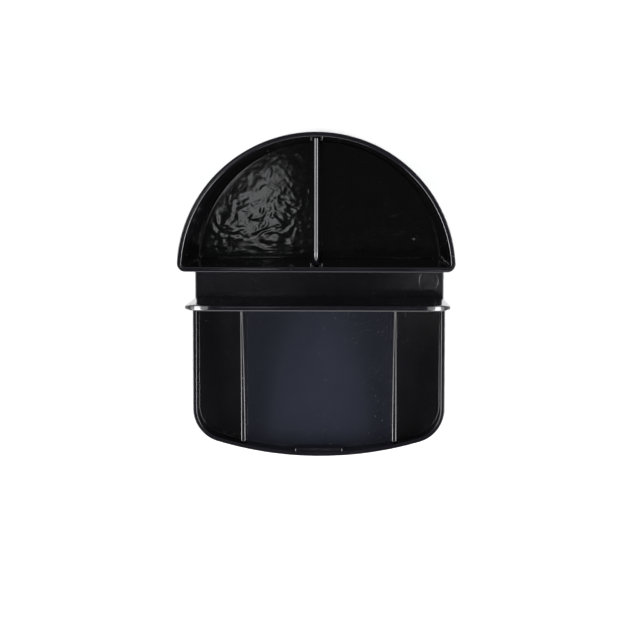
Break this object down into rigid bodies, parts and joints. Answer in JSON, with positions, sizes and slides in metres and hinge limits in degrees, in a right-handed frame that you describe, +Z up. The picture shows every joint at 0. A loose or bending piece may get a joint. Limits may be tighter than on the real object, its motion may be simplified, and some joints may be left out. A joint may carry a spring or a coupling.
{
  "type": "desk organizer",
  "caption": "Black desk organizer: half-round divided pencil cup at the back, open letter slot behind a tall panel, and a low bow-fronted tray split by two sloping dividers.",
  "frame": {"origin": "middle of the bounding box, at the height of the surface that the feet stand on", "axes": "+Z up, -Y towards the front tray, +Y towards the pencil cup, +X to the right as seen from the front"},
  "size_m": [0.1402, 0.1758, 0.105],
  "materials": {
    "black_plastic": "polished black polystyrene with fine handling marks, satin on the note tray's floor",
    "foot_rubber": "matte black rubber"
  },
  "bodies": {
    "root": {"base_tray": "black_plastic", "pencil_cup": "black_plastic", "cup_divider": "black_plastic", "letter_panel": "black_plastic", "tray_divider_left": "black_plastic", "tray_divider_right": "black_plastic", "foot_front_left": "foot_rubber", "foot_front_right": "foot_rubber", "foot_back_left": "foot_rubber", "foot_back_right": "foot_rubber"}
  },
  "joints": []
}
